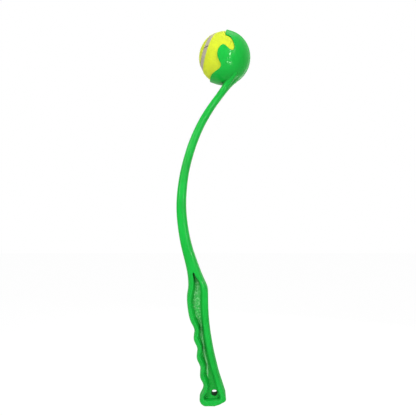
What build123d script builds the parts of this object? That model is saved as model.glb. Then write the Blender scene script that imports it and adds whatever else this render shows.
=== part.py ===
"""Dog ball launcher: a one-piece throwing stick with a lobed cup, and the tennis ball held in the cup.

Millimetres, +Z up the stick, +Y through the hanging hole, origin at the hole's centre in the mid plane.
"""
import os
from math import acos, atan2, cos, degrees, radians, sin, sqrt

from build123d import *

# Driving dimensions
length = 500.0
ball_dia = 66.0
ball_gap = 0.3
cup_wall = 2.1
cup_lip_wall = 1.0
cup_shift = 0.8
cup_straight = 11.0
cup_rim_round = 0.7
grip_width = 36.8
grip_thick = 27.0
flare_width = 12.0
flare_thick = 37.0
web_thick = 10.0
pocket_draft = 2.3
mouth_bevel = 1.2
hang_hole_dia = 8.0
felt_thick = 3.0
core_wall = 3.3
seam_width = 9.0
seam_recess = 0.5

# The cup's opening looks to the finger side and a little upward
opening_deg = 17.5
cup_x_share, cup_z_share = 0.0255, 0.8914

# Stick sections from the cup down to the foot: centre x and z as shares of the length, tilt in degrees,
# then shares of the grip's width and thickness, and the edge roundings on the finger side and the back,
# both as shares of the width
station_shares = [
    (0.0602, 0.8496, -43.6, 0.362, 0.459, 0.113, 0.113), (0.0479, 0.8342, -41.8, 0.328, 0.459, 0.114, 0.114),
    (0.0363, 0.8202, -40.2, 0.280, 0.459, 0.115, 0.115), (0.0240, 0.8036, -38.3, 0.246, 0.459, 0.116, 0.116),
    (0.0103, 0.7856, -36.9, 0.246, 0.459, 0.117, 0.116), (-0.0044, 0.7656, -35.0, 0.254, 0.459, 0.119, 0.119),
    (-0.0188, 0.7436, -31.7, 0.266, 0.460, 0.120, 0.120), (-0.0327, 0.7196, -28.1, 0.275, 0.461, 0.121, 0.121),
    (-0.0461, 0.6916, -23.7, 0.284, 0.463, 0.123, 0.123), (-0.0582, 0.6616, -19.7, 0.296, 0.466, 0.125, 0.125),
    (-0.0685, 0.6296, -16.3, 0.300, 0.471, 0.126, 0.126), (-0.0773, 0.5956, -12.4, 0.307, 0.480, 0.128, 0.128),
    (-0.0836, 0.5596, -7.8, 0.326, 0.494, 0.130, 0.130), (-0.0873, 0.5236, -3.8, 0.343, 0.509, 0.132, 0.132),
    (-0.0881, 0.4896, 1.2, 0.354, 0.528, 0.133, 0.133), (-0.0858, 0.4556, 6.3, 0.362, 0.556, 0.134, 0.135),
    (-0.0810, 0.4216, 9.8, 0.368, 0.605, 0.135, 0.136), (-0.0754, 0.3936, 13.2, 0.378, 0.663, 0.139, 0.134),
    (-0.0691, 0.3696, 16.5, 0.390, 0.727, 0.157, 0.126), (-0.0631, 0.3495, 16.5, 0.413, 0.797, 0.173, 0.117),
    (-0.0585, 0.3335, 14.0, 0.438, 0.851, 0.190, 0.106), (-0.0549, 0.3205, 10.4, 0.468, 0.887, 0.203, 0.097),
    (-0.0517, 0.3086, 6.3, 0.511, 0.921, 0.213, 0.090), (-0.0486, 0.2976, 2.9, 0.569, 0.949, 0.217, 0.087),
    (-0.0460, 0.2876, 0.7, 0.632, 0.970, 0.217, 0.087), (-0.0442, 0.2776, 0.0, 0.694, 0.984, 0.217, 0.087),
    (-0.0442, 0.2676, -0.0, 0.743, 0.990, 0.217, 0.087), (-0.0445, 0.2576, -0.0, 0.763, 0.995, 0.217, 0.087),
    (-0.0446, 0.2476, 0.0, 0.766, 0.998, 0.217, 0.087), (-0.0442, 0.2366, 0.0, 0.759, 1.000, 0.217, 0.087),
    (-0.0435, 0.2256, 0.0, 0.745, 1.000, 0.217, 0.087), (-0.0425, 0.2146, 0.0, 0.730, 1.000, 0.217, 0.087),
    (-0.0413, 0.2046, 0.0, 0.710, 1.000, 0.217, 0.087), (-0.0396, 0.1946, 0.0, 0.682, 1.000, 0.217, 0.087),
    (-0.0371, 0.1846, 0.0, 0.637, 1.000, 0.217, 0.087), (-0.0342, 0.1756, 0.0, 0.583, 1.000, 0.217, 0.087),
    (-0.0323, 0.1660, 0.0, 0.562, 1.000, 0.217, 0.087), (-0.0320, 0.1564, -0.0, 0.589, 1.000, 0.217, 0.087),
    (-0.0320, 0.1468, 0.0, 0.627, 1.000, 0.217, 0.087), (-0.0300, 0.1362, 0.0, 0.619, 1.000, 0.217, 0.087),
    (-0.0264, 0.1254, 0.0, 0.572, 1.000, 0.217, 0.087), (-0.0243, 0.1146, 0.0, 0.566, 1.000, 0.217, 0.087),
    (-0.0237, 0.1060, 0.0, 0.597, 1.000, 0.217, 0.087), (-0.0235, 0.0974, 0.0, 0.640, 1.000, 0.217, 0.087),
    (-0.0212, 0.0868, 0.0, 0.646, 1.000, 0.217, 0.087), (-0.0174, 0.0764, 0.0, 0.615, 1.000, 0.217, 0.087),
    (-0.0147, 0.0658, 0.0, 0.610, 1.000, 0.217, 0.087), (-0.0138, 0.0566, 0.0, 0.644, 1.000, 0.217, 0.087),
    (-0.0129, 0.0474, 0.0, 0.688, 1.000, 0.217, 0.087), (-0.0107, 0.0382, 0.0, 0.703, 1.000, 0.217, 0.087),
    (-0.0067, 0.0290, 0.0, 0.677, 1.000, 0.217, 0.087), (-0.0040, 0.0198, 0.0, 0.685, 1.000, 0.217, 0.087),
    (-0.0026, 0.0102, 0.0, 0.730, 1.000, 0.217, 0.087), (-0.0021, 0.0004, -0.0, 0.801, 1.000, 0.217, 0.087),
    (-0.0029, -0.0084, -0.0, 0.900, 1.000, 0.217, 0.087), (-0.0046, -0.0156, -0.0, 0.933, 1.000, 0.217, 0.087),
    (-0.0089, -0.0208, -0.0, 0.818, 1.000, 0.217, 0.087), (-0.0119, -0.0248, -0.0, 0.687, 0.981, 0.207, 0.083),
    (-0.0151, -0.0280, -0.0, 0.514, 0.908, 0.169, 0.068), (-0.0143, -0.0298, 0.0, 0.464, 0.819, 0.122, 0.049),
    (-0.0136, -0.0308, 0.0, 0.447, 0.667, 0.041, 0.017)]
# Root flare on the cup's underside: the same columns, with shares of the flare's width and thickness
flare_shares = [
    (0.0530, 0.8436, -46.0, 1.000, 1.000, 0.39, 0.39), (0.0396, 0.8276, -43.0, 0.800, 0.740, 0.345, 0.345),
    (0.0310, 0.8146, -40.0, 0.760, 0.500, 0.345, 0.345), (0.0225, 0.8031, -38.5, 0.730, 0.380, 0.34, 0.34),
    (0.0120, 0.7886, -37.2, 0.700, 0.320, 0.33, 0.33)]
# Pocket outline in the grip's side face: x and z as shares of the length, and how far each point's
# wall leans in, as a share of the pocket's draft
pocket_shares = [
    (-0.0551, 0.3202, 0.30), (-0.0567, 0.3149, 0.40), (-0.0553, 0.3050, 0.70), (-0.0551, 0.2894, 1.00),
    (-0.0562, 0.2738, 1.00), (-0.0593, 0.2582, 1.00), (-0.0613, 0.2425, 1.00), (-0.0593, 0.2269, 1.00),
    (-0.0557, 0.2113, 1.00), (-0.0512, 0.1969, 1.00), (-0.0450, 0.1826, 1.00), (-0.0408, 0.1683, 1.00),
    (-0.0437, 0.1508, 1.00), (-0.0374, 0.1344, 1.00), (-0.0340, 0.1180, 1.00), (-0.0366, 0.1024, 1.00),
    (-0.0304, 0.0875, 1.00), (-0.0254, 0.0701, 1.00), (-0.0275, 0.0524, 1.00), (-0.0215, 0.0380, 1.00),
    (-0.0174, 0.0211, 1.00), (-0.0220, 0.0055, 1.00), (-0.0283, -0.0049, 0.90), (-0.0267, -0.0117, 0.50),
    (-0.0189, -0.0146, 0.17), (-0.0075, -0.0148, 0.17), (0.0030, -0.0143, 0.17), (0.0108, -0.0125, 0.30),
    (0.0155, -0.0081, 0.60), (0.0149, -0.0003, 0.85), (0.0100, 0.0133, 1.00), (0.0043, 0.0315, 1.00),
    (-0.0017, 0.0524, 1.00), (-0.0114, 0.0836, 1.00), (-0.0194, 0.1201, 1.00), (-0.0260, 0.1618, 1.00),
    (-0.0309, 0.2035, 1.00), (-0.0325, 0.2399, 1.00), (-0.0330, 0.2712, 1.00), (-0.0366, 0.2907, 0.90),
    (-0.0439, 0.3037, 0.65), (-0.0510, 0.3149, 0.40)]
# Cup rim seen from the side: along the opening and across it, as shares of the cup's outer radius
rim_shares = [
    (0.190, 1.300), (0.185, 0.900), (0.165, 0.670), (0.110, 0.500), (-0.017, 0.476), (-0.176, 0.368),
    (-0.263, 0.244), (-0.312, 0.113), (-0.283, 0.011), (-0.156, 0.014), (-0.009, 0.079), (0.096, 0.096),
    (0.190, -0.020), (0.218, -0.147), (0.204, -0.263), (0.144, -0.377), (0.040, -0.482), (-0.034, -0.567),
    (-0.017, -0.646), (0.068, -0.728), (0.173, -0.816), (0.235, -0.892), (0.255, -1.000), (0.260, -1.300)]

# Ball seam: four tangent arcs whose centres sit this far off the ball's middle plane
seam_lobe_deg = 12.0
seam_x_dir = (-0.832, 0.123, 0.541)
seam_z_dir = (0.555, 0.222, 0.802)
felt_turn_deg = (10, 20, 30)

ball_r = ball_dia / 2
cup_inner_r = ball_r + ball_gap
cup_outer_r = cup_inner_r + cup_wall
core_r = ball_r - felt_thick
cup_centre = Vector(cup_x_share * length, 0, cup_z_share * length)
opening = Vector(-cos(radians(opening_deg)), 0, sin(radians(opening_deg)))
side_plane = Plane(origin=(0, 0, 0), x_dir=(1, 0, 0), z_dir=(0, -1, 0))
# The cup's own plane seen from the side: x along the opening, y upward across it
cup_plane = Plane(origin=cup_centre, x_dir=opening, z_dir=(0, 1, 0))


def sections(rows, width, thick):
    """Rounded sections across the stick, one per row of shares, ready to loft."""
    faces = []
    for x, z, tilt, across, through, finger_corner, back_corner in rows:
        run = (cos(radians(tilt)), 0, sin(radians(tilt)))
        up = (-sin(radians(tilt)), 0, cos(radians(tilt)))
        with BuildSketch(Plane(origin=(x * length, 0, z * length), x_dir=run, z_dir=up)) as cut:
            Rectangle(across * width, through * thick)
            fillet(cut.vertices().group_by(Axis.X)[0], finger_corner * width)
            fillet(cut.vertices().group_by(Axis.X)[-1], back_corner * width)
        faces.append(cut.sketch.faces()[0])
    return faces


def inset(points, steps):
    """Move each point of a closed outline inward by its own step."""
    count = len(points)
    area = sum(points[i - 1][0] * points[i][1] - points[i][0] * points[i - 1][1] for i in range(count))
    turn = 1 if area > 0 else -1
    moved = []
    for i, (px, py) in enumerate(points):
        ax, ay = points[i - 1]
        bx, by = points[(i + 1) % count]
        run = sqrt((bx - ax) ** 2 + (by - ay) ** 2)
        moved.append((px - turn * (by - ay) / run * steps[i], py + turn * (bx - ax) / run * steps[i]))
    return moved


def smooth_ring(points, parts, height):
    """A closed smooth outline through the points at one height off the side plane, as a few splines."""
    count = len(points)
    at = [Vector(x, -height, z) for x, z in points]
    slopes = [at[(i + 1) % count] - at[i - 1] for i in range(count)]
    stops = [round(k * count / parts) for k in range(parts + 1)]
    ring = []
    for first, last in zip(stops, stops[1:]):
        ends = (slopes[first % count].normalized(), slopes[last % count].normalized())
        ring.append(Edge.make_spline([at[i % count] for i in range(first, last + 1)], tangents=ends))
    return ring


def bowl(radius, shift, straight, mouth_radius):
    """Outline of half a bowl about its axis: an arc centred a little behind, then the mouth."""
    arc_r = radius - shift
    side = sqrt(arc_r ** 2 - shift ** 2)
    Polyline((-radius, 0), (straight, 0), (straight, mouth_radius), (0, side))
    ThreePointArc((0, side), (-shift - arc_r * sqrt(0.5), arc_r * sqrt(0.5)), (-radius, 0))


def wall_radius(point):
    """Distance of a point from the cup's centre, or from its axis once in front of the centre."""
    reach = point - cup_centre
    return (reach - opening * max(reach.dot(opening), 0)).length


# Space the ball takes in the cup, open out of the mouth
with BuildPart() as cavity:
    with BuildSketch(cup_plane):
        with BuildLine():
            bowl(cup_inner_r, 0, length / 4, cup_inner_r)
        make_face()
    revolve(axis=Axis(cup_centre, opening))

# Cup shell cut to its lobed rim
with BuildPart() as cup:
    with BuildSketch(cup_plane):
        with BuildLine():
            bowl(cup_outer_r, cup_shift, cup_straight, cup_inner_r + cup_lip_wall)
        make_face()
    revolve(axis=Axis(cup_centre, opening))
    with BuildSketch(cup_plane):
        rim = [(a * cup_outer_r, b * cup_outer_r) for a, b in rim_shares]
        with BuildLine():
            edge = Spline(*rim)
            Polyline(edge @ 1, (-length / 4, rim[-1][1]), (-length / 4, rim[0][1]), edge @ 0)
        make_face()
    extrude(amount=length / 4, both=True, mode=Mode.INTERSECT)
    add(cavity.part, mode=Mode.SUBTRACT)
    rim_edges = [e for e in cup.edges().filter_by(GeomType.BSPLINE)
                 if wall_radius(e @ 0.5) > cup_inner_r + cup_lip_wall / 2]
    fillet(rim_edges, cup_rim_round)

# Stick and grip: one smooth loft through the sections
stick_sections = sections(station_shares, grip_width, grip_thick)
flare_sections = sections(flare_shares, flare_width, flare_thick)
with BuildPart() as flare:
    loft(sections=flare_sections)

# Pocket on one side of the grip's web: a drafted wall, then a bevelled mouth that the cut carries past
pocket_points = [(x * length, z * length) for x, z, lean in pocket_shares]
wall_lean = [lean * pocket_draft for x, z, lean in pocket_shares]
past_share = 0.5
pocket_arcs = 9
bevel_reach = (1 + past_share) * mouth_bevel
levels = [(web_thick / 2, wall_lean), (grip_thick / 2 - mouth_bevel, [0] * len(wall_lean)),
          (grip_thick / 2 - mouth_bevel + bevel_reach, [-bevel_reach] * len(wall_lean))]
rings = [smooth_ring(inset(pocket_points, steps), pocket_arcs, height) for height, steps in levels]
pocket_faces = [Face(Wire(rings[0])), Face(Wire(rings[-1]))]
for lower, upper in zip(rings, rings[1:]):
    pocket_faces += [Face.make_surface_from_curves(low, high) for low, high in zip(lower, upper)]
pocket = Solid(Shell(pocket_faces))

with BuildPart() as stick:
    loft(sections=stick_sections)
    add(pocket, mode=Mode.SUBTRACT)
    add(pocket.mirror(Plane.XZ), mode=Mode.SUBTRACT)
    with BuildSketch(side_plane):
        Circle(hang_hole_dia / 2)
    extrude(amount=web_thick / 2, both=True, mode=Mode.SUBTRACT)

with BuildPart() as launcher_stick:
    add(stick.part)
    add(flare.part)
    add(cavity.part, mode=Mode.SUBTRACT)
    add(cup.part)

# Seam strip: each arc is a turned section about its own lobe axis
ball_frame = Plane(origin=cup_centre, x_dir=seam_x_dir, z_dir=seam_z_dir)
lobe = radians(seam_lobe_deg)
arc_angle = acos(cos(lobe) / sqrt(2))
half_strip = seam_width / 2 / ball_r
half_turn = 180 - degrees(atan2(1, sin(lobe)))
lobes = [(Vector(cos(lobe), 0, -sin(lobe)), -1), (Vector(-cos(lobe), 0, -sin(lobe)), -1),
         (Vector(0, cos(lobe), sin(lobe)), 1), (Vector(0, -cos(lobe), sin(lobe)), 1)]


def strip(inner, outer):
    """The closed seam ring between two radii, as eight turned half arcs."""
    arcs = []
    turns = (arc_angle - half_strip, arc_angle, arc_angle + half_strip)
    low = [(inner * cos(t), inner * sin(t)) for t in turns]
    high = [(outer * cos(t), outer * sin(t)) for t in turns]
    for axis, side in lobes:
        up = (Vector(0, 0, side) - axis * (axis.Z * side)).normalized()
        with BuildSketch(Plane(origin=(0, 0, 0), x_dir=axis, z_dir=axis.cross(up))) as section:
            with BuildLine():
                ThreePointArc(*low)
                Line(low[2], high[2])
                ThreePointArc(*reversed(high))
                Line(high[0], low[0])
            make_face()
        face = section.sketch.faces()[0]
        arcs += [Solid.revolve(face, half_turn, Axis((0, 0, 0), axis * way)) for way in (1, -1)]
    return arcs[0].fuse(*arcs[1:])


with BuildPart() as seam_ring:
    add(strip(core_r, ball_r - seam_recess))
# The felt shell is turned so that its poles stay clear of the seam
with BuildPart() as felt:
    with Locations(Rotation(*felt_turn_deg)):
        Sphere(ball_r)
        Sphere(core_r, mode=Mode.SUBTRACT)
    add(strip(core_r * 0.9, ball_r * 1.1), mode=Mode.SUBTRACT)
# Both panels have one shape: the second is the first turned half round between two lobes
near_panel = felt.part.solids().sort_by(SortBy.VOLUME)[-1]
far_panel = near_panel.rotate(Axis((0, 0, 0), (1, 1, 0)), 180)
with BuildPart() as core:
    Sphere(core_r)
    Sphere(core_r - core_wall, mode=Mode.SUBTRACT)
    split(bisect_by=Plane.XY, keep=Keep.TOP)

os.makedirs("parts", exist_ok=True)
pieces = {
    "launcher_stick": launcher_stick.part,
    "core_half_upper": ball_frame.location * core.part,
    "core_half_lower": ball_frame.location * mirror(core.part, about=Plane.XY),
    "felt_panel_near": ball_frame.location * near_panel,
    "felt_panel_far": ball_frame.location * far_panel,
    "ball_seam": ball_frame.location * seam_ring.part,
}
for name, shape in pieces.items():
    shape.label = name
    export_step(shape, f"parts/{name}.step")
    print(name, round(shape.volume), shape.bounding_box())
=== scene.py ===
"""Looks of the dog ball launcher: glossy green moulding, felt tennis ball, plain white studio."""
import logging
import math
from dataclasses import dataclass, field
from enum import Enum

import bpy
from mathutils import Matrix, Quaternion, Vector

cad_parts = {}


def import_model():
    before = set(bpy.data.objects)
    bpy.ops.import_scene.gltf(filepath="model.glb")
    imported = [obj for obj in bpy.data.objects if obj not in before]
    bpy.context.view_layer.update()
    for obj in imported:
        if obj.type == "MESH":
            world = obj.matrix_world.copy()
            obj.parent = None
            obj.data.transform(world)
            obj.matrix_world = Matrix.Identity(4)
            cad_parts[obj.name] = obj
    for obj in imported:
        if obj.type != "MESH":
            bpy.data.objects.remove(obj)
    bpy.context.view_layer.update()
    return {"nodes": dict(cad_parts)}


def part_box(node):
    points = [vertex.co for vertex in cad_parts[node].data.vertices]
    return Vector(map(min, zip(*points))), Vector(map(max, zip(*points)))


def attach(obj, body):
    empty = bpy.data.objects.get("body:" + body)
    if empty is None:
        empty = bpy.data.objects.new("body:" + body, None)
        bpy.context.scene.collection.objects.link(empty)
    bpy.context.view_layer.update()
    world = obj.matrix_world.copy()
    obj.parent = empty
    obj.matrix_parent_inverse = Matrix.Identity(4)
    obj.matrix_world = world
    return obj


Colour = tuple[float, float, float, float]
Place = tuple[float, float, float]
Span = tuple[float, float]
Socket = bpy.types.NodeSocket

log = logging.getLogger("launcher")
BALL_BODY = "ball"
FELT_PANELS = ("felt_panel_near", "felt_panel_far")
CORE_HALVES = ("core_half_upper", "core_half_lower")
BACKGROUND_RAYS = ("Is Camera Ray", "Is Glossy Ray", "Is Transmission Ray")
RISE: Span = (0.0, 1.0)
FALL: Span = (1.0, 0.0)


def linear(red: int, green: int, blue: int) -> Colour:
    """Turn a screen colour into the linear one that a shader takes.

    Args:
        red: Red, 0 to 255.
        green: Green, 0 to 255.
        blue: Blue, 0 to 255.

    Returns:
        The linear colour with full alpha.
    """
    def one(value: int) -> float:
        """Linear value of one channel."""
        share = value / 255
        return share / 12.92 if share <= 0.04045 else ((share + 0.055) / 1.055) ** 2.4

    return one(red), one(green), one(blue), 1.0


def background_ray(tree: bpy.types.NodeTree) -> Socket:
    """Find the rays that see plain white instead of the lit surroundings.

    Args:
        tree: Node tree of a material or of the world.

    Returns:
        1 for camera, glossy and transmission rays, 0 for the rest.
    """
    path = tree.nodes.new("ShaderNodeLightPath")
    seen = path.outputs[BACKGROUND_RAYS[0]]
    for kind in BACKGROUND_RAYS[1:]:
        either = tree.nodes.new("ShaderNodeMath")
        either.operation = "MAXIMUM"
        tree.links.new(seen, either.inputs[0])
        tree.links.new(path.outputs[kind], either.inputs[1])
        seen = either.outputs[0]
    return seen


class NodeBoard:
    """A material's node tree with short calls to add and join nodes."""

    def __init__(self, name: str) -> None:
        """Start a material that holds only its output and its shader.

        Args:
            name: Name of the material.
        """
        self.material = bpy.data.materials.new(name)
        self.material.use_nodes = True
        self.tree = self.material.node_tree
        self.tree.nodes.clear()
        self.output = self.tree.nodes.new("ShaderNodeOutputMaterial")
        self.shader = self.tree.nodes.new("ShaderNodeBsdfPrincipled")
        self.join(self.shader.outputs["BSDF"], self.output.inputs["Surface"])
        self.place = self.tree.nodes.new("ShaderNodeTexCoord").outputs["Object"]

    def join(self, source: Socket, target: Socket) -> None:
        """Link one socket to another."""
        self.tree.links.new(source, target)

    def feed(self, name: str, source: Socket) -> None:
        """Link a socket to the shader's input of that name."""
        self.join(source, self.shader.inputs[name])

    def fix(self, name: str, value: float | tuple[float, ...]) -> None:
        """Set the shader's input of that name to a plain value."""
        self.shader.inputs[name].default_value = value

    def noise(self, scale: float, detail: float = 2.0, roughness: float = 0.5,
              stretch: Place = (1, 1, 1)) -> Socket:
        """Add a noise over the object's own coordinates.

        Args:
            scale: Cells per metre.
            detail: Octaves of finer noise.
            roughness: Weight of the finer octaves.
            stretch: How much each axis is packed together.

        Returns:
            The noise's grey value.
        """
        mapping = self.tree.nodes.new("ShaderNodeMapping")
        mapping.inputs["Scale"].default_value = stretch
        self.join(self.place, mapping.inputs["Vector"])
        texture = self.tree.nodes.new("ShaderNodeTexNoise")
        texture.inputs["Scale"].default_value = scale
        texture.inputs["Detail"].default_value = detail
        texture.inputs["Roughness"].default_value = roughness
        self.join(mapping.outputs["Vector"], texture.inputs["Vector"])
        return texture.outputs["Fac"]

    def band(self, value: Socket, span: Span, result: Span = RISE) -> Socket:
        """Map a value from one range to another and hold it there.

        Args:
            value: Socket to map.
            span: Values that become the two results.
            result: Results at the span's first and second value.

        Returns:
            The mapped value.
        """
        node = self.tree.nodes.new("ShaderNodeMapRange")
        for name, number in zip(("From Min", "From Max", "To Min", "To Max"), span + result):
            node.inputs[name].default_value = number
        self.join(value, node.inputs["Value"])
        return node.outputs["Result"]

    def blend(self, share: Socket, first: Socket | Colour, second: Socket | Colour) -> Socket:
        """Mix two colours by a share.

        Args:
            share: Socket from 0, the first colour, to 1, the second.
            first: A linear colour or a colour socket.
            second: A linear colour or a colour socket.

        Returns:
            The mixed colour.
        """
        node = self.tree.nodes.new("ShaderNodeMix")
        node.data_type = "RGBA"
        self.join(share, node.inputs["Factor"])
        for name, colour in (("A", first), ("B", second)):
            socket = next(s for s in node.inputs if s.name == name and s.type == "RGBA")
            if isinstance(colour, Socket):
                self.join(colour, socket)
            else:
                socket.default_value = colour
        return next(s for s in node.outputs if s.type == "RGBA")

    def math(self, kind: str, first: Socket, second: Socket | float = 0.0) -> Socket:
        """Add one sum.

        Args:
            kind: Operation of the Math node.
            first: First value.
            second: Second value, a socket or a number.

        Returns:
            The result.
        """
        node = self.tree.nodes.new("ShaderNodeMath")
        node.operation = kind
        self.join(first, node.inputs[0])
        if isinstance(second, Socket):
            self.join(second, node.inputs[1])
        else:
            node.inputs[1].default_value = second
        return node.outputs[0]

    def times(self, first: Socket, second: Socket | float) -> Socket:
        """Multiply two values."""
        return self.math("MULTIPLY", first, second)

    def away(self, value: Socket, middle: Socket | float = 0.0) -> Socket:
        """Give a value's distance from another, without its sign."""
        return self.math("ABSOLUTE", self.math("SUBTRACT", value, middle))

    def parts(self, vector: Socket) -> tuple[Socket, ...]:
        """Split a vector into X, Y and Z."""
        node = self.tree.nodes.new("ShaderNodeSeparateXYZ")
        self.join(vector, node.inputs[0])
        return tuple(node.outputs)

    def eased(self, radius: float, samples: int = 6) -> Socket:
        """Add the surface's normal with every edge eased by a small radius, in metres."""
        node = self.tree.nodes.new("ShaderNodeBevel")
        node.samples = samples
        node.inputs["Radius"].default_value = radius
        return node.outputs["Normal"]

    def bump(self, height: Socket, strength: float, distance: float, under: Socket | None = None) -> Socket:
        """Add a bump on top of another.

        Args:
            height: Grey height.
            strength: Share of the full effect.
            distance: Height in metres.
            under: Normal of the bump below, if any.

        Returns:
            The bumped normal.
        """
        node = self.tree.nodes.new("ShaderNodeBump")
        node.inputs["Strength"].default_value = strength
        node.inputs["Distance"].default_value = distance
        self.join(height, node.inputs["Height"])
        if under is not None:
            self.join(under, node.inputs["Normal"])
        return node.outputs["Normal"]


@dataclass(frozen=True)
class PocketHighlightLine:
    """A painted highlight: the pale line of caught light that runs down the floor of the grip's pocket.

    Attributes:
        course: Points of the line from the foot up, each its height and its distance along X, in metres.
        half_width: Half the line's width, in metres.
        fade: Heights between which the line gets fainter.
        strength: How plain the line is below and above the fade.
    """

    course: tuple[Span, ...] = ((0.016, -0.0090), (0.026, -0.0090), (0.0375, -0.0094),
                                (0.0528, -0.0133), (0.0748, -0.0162), (0.092, -0.0175))
    half_width: float = 0.0011
    fade: Span = (0.045, 0.07)
    strength: Span = (0.95, 0.6)

    def mask(self, board: NodeBoard) -> Socket:
        """Draw the painted highlight line.

        Args:
            board: Node tree of the material.

        Returns:
            A mask, near 1 on the line and 0 elsewhere.
        """
        side, _, up = board.parts(board.place)
        heights = [height for height, _ in self.course]
        legs = list(zip(self.course, self.course[1:]))
        (low, start), (high, end) = legs[0]
        middle = board.band(up, (low, high), (start, end))
        for (low, start), (high, end) in legs[1:]:
            middle = board.math("ADD", middle, board.band(up, (low, high), (0.0, end - start)))
        across = board.band(board.away(side, middle), (self.half_width / 2, self.half_width), FALL)
        ends = board.times(board.band(up, (heights[0], heights[1])),
                           board.band(up, (heights[-2], heights[-1]), FALL))
        return board.times(board.times(ends, across), board.band(up, self.fade, self.strength))


@dataclass(frozen=True)
class MouldedPlastic:
    """Glossy injection-moulded plastic with a slight orange peel, fine scuffs, a coarse pocket floor,
    painted shade in its hollows and hanging hole, and painted highlights on its edges and pocket floor.

    Scales are in cells per metre. Reaches, heights, slacks and radii are in metres. A span holds the two
    values of a pattern between which its effect grows or fades, and a share is how strong the effect is.
    """

    base: Colour = linear(26, 187, 66)
    deep: Colour = linear(18, 175, 56)
    cloud_scale: float = 28
    cloud_span: Span = (0.35, 0.65)
    # Pale tone of the scuffs, also used for the painted highlight along the sharp edges.
    scuff_and_highlight_tone: Colour = linear(70, 206, 98)
    scratch_scale: float = 420
    scratch_stretch: Place = (1, 1, 0.12)
    scratch_span: Span = (0.66, 0.8)
    scratch_share: float = 0.35
    scratch_strength: float = 0.1
    scratch_height: float = 0.0001
    # Pale sharp edges: partly rubbed wear, partly painted highlight.
    wear_and_highlight_reach: float = 0.0012
    wear_and_highlight_span: Span = (0.8, 0.99)
    wear_and_highlight_share: float = 0.4
    web_half: float = 0.005
    web_slack: Span = (0.0004, 0.0008)
    web_facing: Span = (0.9, 0.97)
    # Painted glints: pale spots of caught light on the pocket floor, stronger higher up; the same tone
    # paints the pocket's highlight line.
    painted_glint_tone: Colour = linear(150, 228, 160)
    grain_and_glint_scale: float = 380
    glint_span: Span = (0.46, 0.66)
    glint_share: Span = (0.12, 0.95)
    glint_heights: Span = (0.02, 0.13)
    glint_fade: Span = (0.05, 1.0)
    floor_grain_strength: float = 0.9
    floor_grain_height: float = 0.0008
    # Painted highlight line on the pocket floor.
    line: PocketHighlightLine = field(default_factory=PocketHighlightLine)
    # Painted shade in the hollows, such as the pocket's walls and corners.
    hollow_shade_tone: Colour = linear(2, 104, 24)
    hollow_shade_reach: float = 0.007
    hollow_shade_span: Span = (0.35, 0.9)
    hollow_shade_share: float = 0.8
    hollow_shade_share_on_floor: float = 0.25
    hollow_shade_samples: int = 8
    # Painted shade on the hanging hole's wall.
    bore_shade_tone: Colour = linear(6, 70, 22)
    bore_reach: float = 0.0044
    bore_edge: float = 0.0002
    bore_slack: float = 0.0003
    bore_roughness: float = 0.9
    gloss: Span = (0.13, 0.17)
    gloss_scale: float = 150
    gloss_span: Span = (0.3, 0.7)
    rim_facing: Span = (0.5, 0.92)
    rim_roughness: float = 0.8
    peel_scale: float = 1400
    peel_strength: float = 0.05
    peel_height: float = 0.0001
    edge_ease: float = 0.002
    index: float = 1.2
    depth_share: float = 0.06
    depth_radius: Place = (0.002, 0.004, 0.002)

    def pocket_floor(self, board: NodeBoard) -> Socket:
        """Find the web's flat faces at the bottom of the grip's pockets.

        Args:
            board: Node tree of the material.

        Returns:
            A mask, 1 on the web's faces and 0 elsewhere.
        """
        across = board.parts(board.place)[1]
        low, high = self.web_slack
        near = board.band(board.away(across), (self.web_half + low, self.web_half + high), FALL)
        facing = board.tree.nodes.new("ShaderNodeTexCoord").outputs["Normal"]
        flat = board.band(board.away(board.parts(facing)[1]), self.web_facing)
        return board.times(near, flat)

    def worn_and_highlit_edge(self, board: NodeBoard) -> Socket:
        """Find the sharp edges, painted pale: partly rubbed wear, partly a painted highlight.

        Args:
            board: Node tree of the material.

        Returns:
            A mask, 1 along the sharp edges and 0 on the faces.
        """
        true_normal = board.tree.nodes.new("ShaderNodeNewGeometry").outputs["Normal"]
        spread = board.tree.nodes.new("ShaderNodeVectorMath")
        spread.operation = "DOT_PRODUCT"
        board.join(board.eased(self.wear_and_highlight_reach), spread.inputs[0])
        board.join(true_normal, spread.inputs[1])
        return board.band(spread.outputs["Value"], self.wear_and_highlight_span, FALL)

    def painted_hollow_shade(self, board: NodeBoard) -> Socket:
        """Find the hollows, such as the pocket's walls and corners, that get painted shade.

        Args:
            board: Node tree of the material.

        Returns:
            A mask, 1 in deep hollows and 0 on open faces.
        """
        node = board.tree.nodes.new("ShaderNodeAmbientOcclusion")
        node.samples = self.hollow_shade_samples
        node.inputs["Distance"].default_value = self.hollow_shade_reach
        return board.band(node.outputs["AO"], self.hollow_shade_span, FALL)

    def bore(self, board: NodeBoard) -> Socket:
        """Find the wall of the hanging hole, which gets painted shade and a dull finish.

        Args:
            board: Node tree of the material.

        Returns:
            A mask, 1 in the hole and 0 elsewhere.
        """
        side, across, up = board.parts(board.place)
        far = board.math("SQRT", board.math("ADD", board.times(side, side), board.times(up, up)))
        inside = board.band(far, (self.bore_reach - self.bore_edge, self.bore_reach), FALL)
        near = board.band(board.away(across), (self.web_half, self.web_half + self.bore_slack), FALL)
        return board.times(inside, near)

    def colour(self, board: NodeBoard, scratch: Socket, grain: Socket, floor: Socket,
               bore: Socket) -> Socket:
        """Lay the plastic's colours over one another, painted shade and painted highlights among them.

        Args:
            board: Node tree of the material.
            scratch: Noise of the fine scuffs.
            grain: Noise of the pocket floor's coarse texture, which also places its painted glints.
            floor: Mask of the pocket's floor.
            bore: Mask of the hanging hole.

        Returns:
            The colour.
        """
        cloud = board.band(board.noise(self.cloud_scale, detail=3), self.cloud_span)
        colour = board.blend(cloud, self.deep, self.base)
        scuffs = board.band(scratch, self.scratch_span, (0.0, self.scratch_share))
        colour = board.blend(scuffs, colour, self.scuff_and_highlight_tone)
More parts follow.
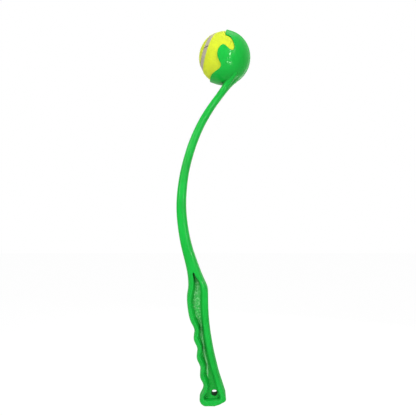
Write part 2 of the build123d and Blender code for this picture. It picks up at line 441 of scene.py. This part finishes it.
        # Painted shade in the hollows, weaker on the pocket floor.
        painted_hollow_shade = board.times(board.times(self.painted_hollow_shade(board), self.hollow_shade_share),
                            board.band(floor, RISE, (1.0, self.hollow_shade_share_on_floor)))
        colour = board.blend(painted_hollow_shade, colour, self.hollow_shade_tone)
        height = board.parts(board.place)[2]
        # Painted glints on the pocket floor.
        painted_glints = board.times(board.band(grain, self.glint_span, self.glint_share),
                             board.band(height, self.glint_heights, self.glint_fade))
        colour = board.blend(board.times(floor, painted_glints), colour, self.painted_glint_tone)
        # Painted highlight line down the pocket floor.
        colour = board.blend(board.times(self.line.mask(board), floor), colour, self.painted_glint_tone)
        # Pale sharp edges: partly rubbed wear, partly painted highlight.
        colour = board.blend(board.times(self.worn_and_highlit_edge(board), self.wear_and_highlight_share), colour, self.scuff_and_highlight_tone)
        # Painted shade on the hanging hole's wall.
        return board.blend(bore, colour, self.bore_shade_tone)

    def roughness(self, board: NodeBoard, bore: Socket) -> Socket:
        """Make the face glossy, and the hole's wall and the turned-away rim dull.

        Args:
            board: Node tree of the material.
            bore: Mask of the hanging hole.

        Returns:
            The roughness.
        """
        facing = board.tree.nodes.new("ShaderNodeLayerWeight").outputs["Facing"]
        dull = board.math("MAXIMUM", board.band(facing, self.rim_facing, (0.0, self.rim_roughness)),
                          board.times(bore, self.bore_roughness))
        polish = board.band(board.noise(self.gloss_scale, detail=4), self.gloss_span, self.gloss)
        return board.math("MAXIMUM", polish, dull)

    def relief(self, board: NodeBoard, scratch: Socket, grain: Socket, floor: Socket) -> Socket:
        """Stack the fine bumps: eased edges, orange peel, the pocket's coarse floor and the scuffs.

        Args:
            board: Node tree of the material.
            scratch: Noise of the fine scuffs.
            grain: Noise of the pocket floor's coarse texture.
            floor: Mask of the pocket's floor.

        Returns:
            The bumped normal.
        """
        peel = board.bump(board.noise(self.peel_scale), self.peel_strength, self.peel_height,
                          board.eased(self.edge_ease))
        coarse = board.bump(board.times(floor, grain), self.floor_grain_strength, self.floor_grain_height, peel)
        return board.bump(scratch, self.scratch_strength, self.scratch_height, coarse)

    def build(self) -> bpy.types.Material:
        """Make the green plastic's material."""
        board = NodeBoard("green_moulded_plastic")
        scratch = board.noise(self.scratch_scale, detail=5, roughness=0.7, stretch=self.scratch_stretch)
        grain = board.noise(self.grain_and_glint_scale, detail=3, roughness=0.65)
        floor, bore = self.pocket_floor(board), self.bore(board)
        board.feed("Base Color", self.colour(board, scratch, grain, floor, bore))
        board.feed("Roughness", self.roughness(board, bore))
        board.feed("Normal", self.relief(board, scratch, grain, floor))
        board.fix("IOR", self.index)
        board.fix("Subsurface Weight", self.depth_share)
        board.fix("Subsurface Radius", self.depth_radius)
        return board.material


@dataclass(frozen=True)
class BallFelt:
    """Napped yellow felt with a soft sheen. Scales are in cells per metre and heights in metres."""

    base: Colour = linear(217, 230, 20)
    shade: Colour = linear(204, 219, 16)
    pale: Colour = linear(236, 240, 72)
    cloud_scale: float = 90
    cloud_span: Span = (0.35, 0.65)
    nap_scale: float = 1500
    nap_span: Span = (0.55, 0.75)
    nap_share: float = 0.5
    nap_strength: float = 0.7
    nap_height: float = 0.0004
    tuft_scale: float = 420
    tuft_strength: float = 0.6
    tuft_height: float = 0.0007
    rough_span: Span = (0.3, 0.7)
    rough: Span = (0.85, 0.98)
    sheen: float = 0.08
    sheen_roughness: float = 0.6

    def build(self) -> bpy.types.Material:
        """Make the felt's material."""
        board = NodeBoard("yellow_ball_felt")
        cloud = board.noise(self.cloud_scale, detail=4, roughness=0.6)
        nap = board.noise(self.nap_scale, detail=4, roughness=0.7)
        colour = board.blend(board.band(cloud, self.cloud_span), self.shade, self.base)
        worn = board.band(nap, self.nap_span, (0.0, self.nap_share))
        board.feed("Base Color", board.blend(worn, colour, self.pale))
        board.feed("Roughness", board.band(cloud, self.rough_span, self.rough))
        tuft = board.noise(self.tuft_scale, detail=3, roughness=0.7)
        tuft = board.bump(tuft, self.tuft_strength, self.tuft_height)
        board.feed("Normal", board.bump(nap, self.nap_strength, self.nap_height, tuft))
        board.fix("Sheen Weight", self.sheen)
        board.fix("Sheen Roughness", self.sheen_roughness)
        return board.material


@dataclass(frozen=True)
class Rubber:
    """Matt rubber with a fine grain, a little dust and, on a strip, the dark line where its ends meet.

    Attributes:
        name: Name of the material.
        base: Colour of the clean rubber.
        dust: Colour of the dusty patches.
        rough: Mean roughness.
        rough_spread: How far the roughness strays from its mean.
        joint_height: Height of the line where the strip's ends meet, or None where there is no such line.
        joint_half: Half the line's width, in metres.
        joint_tone: Colour of the line.
        cloud_scale: Scale of the dusty patches, in cells per metre.
        dust_span: Values of the patches between which the dust thickens.
        rough_span: Values of the patches between which the rubber gets rougher.
        grain_scale: Scale of the fine grain, in cells per metre.
        grain_strength: Share of the grain's full effect.
        grain_height: Height of the grain, in metres.
    """

    name: str
    base: Colour
    dust: Colour
    rough: float = 0.75
    joint_height: float | None = None
    joint_half: float = 0.0004
    joint_tone: Colour = linear(62, 54, 44)
    cloud_scale: float = 160
    dust_span: Span = (0.4, 0.7)
    rough_span: Span = (0.3, 0.7)
    rough_spread: float = 0.1
    grain_scale: float = 900
    grain_strength: float = 0.5
    grain_height: float = 0.0003

    def joint(self, board: NodeBoard) -> Socket:
        """Find the short line across the strip where its ends meet.

        Args:
            board: Node tree of the material.

        Returns:
            A mask, 1 on the line and 0 elsewhere.
        """
        _, depth, height = board.parts(board.place)
        edge = (self.joint_half, self.joint_half * 2)
        line = board.band(board.away(height, self.joint_height), edge, FALL)
        return board.times(line, board.math("LESS_THAN", depth, 0.0))

    def build(self) -> bpy.types.Material:
        """Make the rubber's material."""
        board = NodeBoard(self.name)
        cloud = board.noise(self.cloud_scale, detail=4, roughness=0.6)
        colour = board.blend(board.band(cloud, self.dust_span), self.base, self.dust)
        height = board.noise(self.grain_scale, detail=3, roughness=0.6)
        if self.joint_height is not None:
            line = self.joint(board)
            colour = board.blend(line, colour, self.joint_tone)
            height = board.math("SUBTRACT", height, line)
        board.feed("Base Color", colour)
        spread = (self.rough - self.rough_spread, self.rough + self.rough_spread)
        board.feed("Roughness", board.band(cloud, self.rough_span, spread))
        board.feed("Normal", board.bump(height, self.grain_strength, self.grain_height))
        return board.material


@dataclass(frozen=True)
class StudioWhite:
    """White paper that stays white to the camera and keeps the object's shadow."""

    tone: Colour = (0.93, 0.93, 0.93, 1.0)
    light_tone: Colour = (0.95, 0.95, 0.95, 1.0)
    cloud_scale: float = 3
    cloud_span: Span = (0.3, 0.7)
    roughness: float = 0.9
    glow: float = 1.06
    glow_share: float = 0.9

    def build(self) -> bpy.types.Material:
        """Make the floor's material."""
        board = NodeBoard("studio_white")
        cloud = board.band(board.noise(self.cloud_scale), self.cloud_span)
        board.feed("Base Color", board.blend(cloud, self.tone, self.light_tone))
        board.fix("Roughness", self.roughness)
        glow = board.tree.nodes.new("ShaderNodeEmission")
        glow.inputs["Strength"].default_value = self.glow
        mix = board.tree.nodes.new("ShaderNodeMixShader")
        board.join(board.times(background_ray(board.tree), self.glow_share), mix.inputs["Fac"])
        board.join(board.shader.outputs["BSDF"], mix.inputs[1])
        board.join(glow.outputs["Emission"], mix.inputs[2])
        board.join(mix.outputs["Shader"], board.output.inputs["Surface"])
        return board.material


def dress(node: bpy.types.Object, material: bpy.types.Material) -> None:
    """Put one material on every slot of an object.

    Args:
        node: Object to dress.
        material: Material to show.
    """
    if not node.material_slots:
        node.data.materials.append(material)
    for place in node.material_slots:
        place.link = "OBJECT"
        place.material = material


@dataclass
class FibreCoat:
    """Loose felt fibres over a panel, strewn by a node tree of its own.

    Attributes:
        density: Fibres per square metre.
        length: Length of the longest fibre, in metres.
        radius: Radius at a fibre's root, in metres.
        lean: Furthest turn away from the surface's normal, in radians.
        shortest: Length of the shortest fibre as a share of the longest.
        sides: Sides of a fibre's cone.
        seed: Seed of the places, turns and lengths.
    """

    density: float = 900000.0
    length: float = 0.0011
    radius: float = 0.00005
    lean: float = 0.9
    shortest: float = 0.5
    sides: int = 3
    seed: int = 7

    def tree(self, material: bpy.types.Material) -> bpy.types.NodeTree:
        """Build the node tree that strews the fibres.

        Args:
            material: Felt of the fibres.

        Returns:
            The tree, with inputs for density, length, radius, lean and seed.
        """
        tree = bpy.data.node_groups.new("felt_fibres", "GeometryNodeTree")
        face = tree.interface
        face.new_socket("Geometry", in_out="INPUT", socket_type="NodeSocketGeometry")
        face.new_socket("Geometry", in_out="OUTPUT", socket_type="NodeSocketGeometry")
        for name, value in (("Density", self.density), ("Length", self.length), ("Radius", self.radius),
                            ("Lean", self.lean)):
            face.new_socket(name, in_out="INPUT", socket_type="NodeSocketFloat").default_value = value
        face.new_socket("Seed", in_out="INPUT", socket_type="NodeSocketInt").default_value = self.seed
        nodes, link = tree.nodes, tree.links.new
        given, result = nodes.new("NodeGroupInput"), nodes.new("NodeGroupOutput")
        points = nodes.new("GeometryNodeDistributePointsOnFaces")
        link(given.outputs["Geometry"], points.inputs["Mesh"])
        link(given.outputs["Density"], points.inputs["Density"])
        link(given.outputs["Seed"], points.inputs["Seed"])
        cone = nodes.new("GeometryNodeMeshCone")
        cone.inputs["Vertices"].default_value = self.sides
        cone.inputs["Radius Top"].default_value = 0
        link(given.outputs["Radius"], cone.inputs["Radius Bottom"])
        link(given.outputs["Length"], cone.inputs["Depth"])
        rotate = nodes.new("FunctionNodeRotateRotation")
        rotate.rotation_space = "LOCAL"
        link(points.outputs["Rotation"], rotate.inputs["Rotation"])
        link(self.turn(tree, given), rotate.inputs["Rotate By"])
        grow = nodes.new("FunctionNodeRandomValue")
        grow.inputs[2].default_value = self.shortest
        grow.inputs[3].default_value = 1.0
        link(given.outputs["Seed"], grow.inputs["Seed"])
        strew = nodes.new("GeometryNodeInstanceOnPoints")
        link(points.outputs["Points"], strew.inputs["Points"])
        link(cone.outputs["Mesh"], strew.inputs["Instance"])
        link(rotate.outputs["Rotation"], strew.inputs["Rotation"])
        link(grow.outputs[1], strew.inputs["Scale"])
        real = nodes.new("GeometryNodeRealizeInstances")
        link(strew.outputs["Instances"], real.inputs["Geometry"])
        paint = nodes.new("GeometryNodeSetMaterial")
        paint.inputs["Material"].default_value = material
        link(real.outputs["Geometry"], paint.inputs["Geometry"])
        link(paint.outputs["Geometry"], result.inputs["Geometry"])
        return tree

    def turn(self, tree: bpy.types.NodeTree, given: bpy.types.Node) -> Socket:
        """Add each fibre's random turn: a lean to either side and any angle about its root.

        Args:
            tree: Node tree of the fibres.
            given: The tree's input node.

        Returns:
            The turn as three angles.
        """
        nodes, link = tree.nodes, tree.links.new
        turn = nodes.new("FunctionNodeRandomValue")
        turn.data_type = "FLOAT_VECTOR"
        link(given.outputs["Seed"], turn.inputs["Seed"])
        lean = given.outputs["Lean"]
        back = nodes.new("ShaderNodeMath")
        back.operation = "MULTIPLY"
        back.inputs[1].default_value = -1
        link(lean, back.inputs[0])
        low, high = turn.inputs[0], turn.inputs[1]
        for source, target, spin in ((back.outputs[0], low, -math.pi), (lean, high, math.pi)):
            pack = nodes.new("ShaderNodeCombineXYZ")
            link(source, pack.inputs["X"])
            link(source, pack.inputs["Y"])
            pack.inputs["Z"].default_value = spin
            link(pack.outputs["Vector"], target)
        return turn.outputs[0]


@dataclass
class TennisBall:
    """The ball in the cup: rubber core, felt panels, seam and the felt's loose fibres."""

    radius: float = 0.033
    skin_share: float = 0.985
    felt: BallFelt = field(default_factory=BallFelt)
    seam: Rubber = field(default_factory=lambda: Rubber(
        "grey_seam_rubber", linear(168, 160, 146), linear(186, 178, 160), rough=0.7, joint_height=0.4517))
    core: Rubber = field(default_factory=lambda: Rubber(
        "black_core_rubber", linear(28, 28, 28), linear(48, 46, 44), rough=0.6))
    coat: FibreCoat = field(default_factory=FibreCoat)

    def outer_skin(self, node: bpy.types.Object) -> bpy.types.Object:
        """Copy only the outward face of a felt panel.

        Args:
            node: The panel's CAD node.

        Returns:
            A mesh object with the panel's outer face.
        """
        boxes = [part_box(name) for name in FELT_PANELS]
        lows = [min(box[0][axis] for box in boxes) for axis in range(3)]
        highs = [max(box[1][axis] for box in boxes) for axis in range(3)]
        centre = Vector([(low + high) / 2 for low, high in zip(lows, highs)])
        mesh = node.data
        keep = []
        for polygon in mesh.polygons:
            corners = [mesh.vertices[number].co for number in polygon.vertices]
            if min((corner - centre).length for corner in corners) > self.radius * self.skin_share:
                keep.append([tuple(corner) for corner in corners])
        skin = bpy.data.meshes.new(node.name + "_skin")
        skin.from_pydata([corner for face in keep for corner in face], [],
                         [tuple(range(3 * i, 3 * i + 3)) for i in range(len(keep))])
        piece = bpy.data.objects.new(node.name + "_fibres", skin)
        bpy.context.scene.collection.objects.link(piece)
        return piece

    def fibres(self, node: bpy.types.Object, material: bpy.types.Material,
               tree: bpy.types.NodeTree) -> bpy.types.Object:
        """Grow the loose fibres of one panel as a plain mesh.

        Args:
            node: The panel's CAD node.
            material: Felt of the fibres.
            tree: Node tree that strews them.

        Returns:
            The fibres' mesh object.
        """
        piece = self.outer_skin(node)
        modifier = piece.modifiers.new("fibres", "NODES")
        modifier.node_group = tree
        shown = piece.evaluated_get(bpy.context.evaluated_depsgraph_get())
        mesh = bpy.data.meshes.new_from_object(shown)
        piece.modifiers.remove(modifier)
        piece.data = mesh
        if not mesh.materials:
            mesh.materials.append(material)
        return piece

    def build(self, nodes: dict[str, bpy.types.Object]) -> None:
        """Dress the ball's nodes and add the fibres.

        Args:
            nodes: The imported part's nodes by name.
        """
        felt, seam, core = self.felt.build(), self.seam.build(), self.core.build()
        dress(nodes["ball_seam"], seam)
        for name in CORE_HALVES:
            dress(nodes[name], core)
        tree = self.coat.tree(felt)
        for name in FELT_PANELS:
            dress(nodes[name], felt)
            piece = self.fibres(nodes[name], felt, tree)
            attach(piece, BALL_BODY)
            log.info("%s: %d faces", piece.name, len(piece.data.polygons))


@dataclass
class LauncherStick:
    """The one-piece green stick."""

    finish: MouldedPlastic = field(default_factory=MouldedPlastic)

    def build(self, nodes: dict[str, bpy.types.Object]) -> None:
        """Dress the stick's node.

        Args:
            nodes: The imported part's nodes by name.
        """
        dress(nodes["launcher_stick"], self.finish.build())
        log.info("launcher_stick: %d faces", len(nodes["launcher_stick"].data.polygons))


class LampRole(Enum):
    """What a lamp does for the picture."""

    LIGHT = "lights the object"
    GLINT = "shows only as a reflection"


@dataclass(frozen=True)
class Lamp:
    """One rectangular lamp.

    Attributes:
        name: Name of the lamp.
        place: Where it hangs, in metres.
        size: Width and height, in metres.
        power: Power in watts.
        roll: Turn about its own axis, in degrees.
        role: Whether it lights the object or only shows in its gloss.
    """

    name: str
    place: Place
    size: Span
    power: float
    roll: float = 0.0
    role: LampRole = LampRole.LIGHT

    def hang(self, target: Place) -> None:
        """Hang the lamp.

        Args:
            target: Point that it looks at, in metres.
        """
        data = bpy.data.lights.new(self.name, "AREA")
        data.shape = "RECTANGLE"
        data.size, data.size_y = self.size
        data.energy = self.power
        lamp = bpy.data.objects.new(self.name, data)
        lamp.location = self.place
        look = (Vector(target) - Vector(self.place)).to_track_quat("-Z", "Y")
        lamp.rotation_euler = (look @ Quaternion((0, 0, 1), math.radians(self.roll))).to_euler()
        lamp.visible_diffuse = self.role is LampRole.LIGHT
        bpy.context.scene.collection.objects.link(lamp)


@dataclass
class Studio:
    """White floor, soft lamps, white surroundings and the photograph's camera. Sizes are in metres.

    Attributes:
        aim: Where the camera looks, along X and Z.
        distance: From the camera to the stick's middle plane.
        metres_per_pixel: Scale of the photograph at that plane.
        picture: Width and height of the photograph, in pixels.
        sensor: Width of the camera's sensor, in millimetres.
        nearest: Nearest distance that the camera shows.
        lamp_aim: Point that the lamps look at.
        lamps: The lamps, the window's post and sill last.
        floor_height: Height of the floor.
        floor_half: Half the floor's width.
        ambient: Strength of the surroundings' light on the object.
    """

    aim: Span = (-0.00842, 0.245)
    distance: float = 0.5
    metres_per_pixel: float = 0.00134
    picture: int = 416
    sensor: float = 36.0
    nearest: float = 0.01
    lamp_aim: Place = (0.0, 0.0, 0.28)
    lamps: tuple[Lamp, ...] = (
        Lamp("key", (-0.8, -0.95, 0.65), (0.4, 0.6), 8.0),
        Lamp("front", (0.5, -0.95, 0.85), (0.8, 0.8), 8.6),
        Lamp("top", (0.0, 0.1, 1.5), (1.0, 1.0), 3.0),
        Lamp("back", (0.35, 1.25, 0.55), (0.9, 0.9), 8.0),
        Lamp("window_post", (0.172, -0.43, 0.376), (0.01, 0.28), 1.4, -12.5, LampRole.GLINT),
        Lamp("window_sill", (0.18, -0.366, 0.166), (0.2, 0.01), 0.9, -6.0, LampRole.GLINT),
    )
    floor_height: float = -0.30
    floor_half: float = 4.0
    ambient: float = 0.28

    def camera(self) -> None:
        """Set up the camera in front of the stick."""
        data = bpy.data.cameras.new("photo_camera")
        data.sensor_width = self.sensor
        data.lens = self.sensor * self.distance / (self.metres_per_pixel * self.picture)
        data.clip_start = self.nearest
        camera = bpy.data.objects.new("photo_camera", data)
        camera.location = (self.aim[0], -self.distance, self.aim[1])
        camera.rotation_euler = (math.radians(90), 0, 0)
        bpy.context.scene.collection.objects.link(camera)
        bpy.context.scene.camera = camera

    def world(self) -> None:
        """Make the surroundings white to the camera and soft on the object."""
        world = bpy.data.worlds.new("white_room")
        bpy.context.scene.world = world
        world.use_nodes = True
        nodes, link = world.node_tree.nodes, world.node_tree.links.new
        nodes.clear()
        mix = nodes.new("ShaderNodeMixShader")
        link(background_ray(world.node_tree), mix.inputs["Fac"])
        for target, strength in ((mix.inputs[1], self.ambient), (mix.inputs[2], 1.0)):
            shade = nodes.new("ShaderNodeBackground")
            shade.inputs["Color"].default_value = (1, 1, 1, 1)
            shade.inputs["Strength"].default_value = strength
            link(shade.outputs["Background"], target)
        link(mix.outputs["Shader"], nodes.new("ShaderNodeOutputWorld").inputs["Surface"])

    def floor(self) -> None:
        """Lay the white floor."""
        mesh = bpy.data.meshes.new("floor")
        half, height = self.floor_half, self.floor_height
        mesh.from_pydata([(-half, -half, height), (half, -half, height), (half, half, height),
                          (-half, half, height)], [], [(0, 1, 2, 3)])
        floor = bpy.data.objects.new("floor", mesh)
        bpy.context.scene.collection.objects.link(floor)
        mesh.materials.append(StudioWhite().build())

    def build(self) -> None:
        """Set the whole studio up."""
        scene = bpy.context.scene
        scene.view_settings.view_transform = "Standard"
        self.camera()
        self.world()
        self.floor()
        for lamp in self.lamps:
            lamp.hang(self.lamp_aim)
        log.info("studio: camera at %.2f m, lens %.1f mm", self.distance, scene.camera.data.lens)


def main() -> None:
    """Load the frame, build each sub-assembly in order and note the sizes."""
    logging.basicConfig(level=logging.INFO, format="%(name)s %(message)s")
    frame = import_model()
    LauncherStick().build(frame["nodes"])
    TennisBall().build(frame["nodes"])
    Studio().build()


if __name__ == "__main__":
    main()
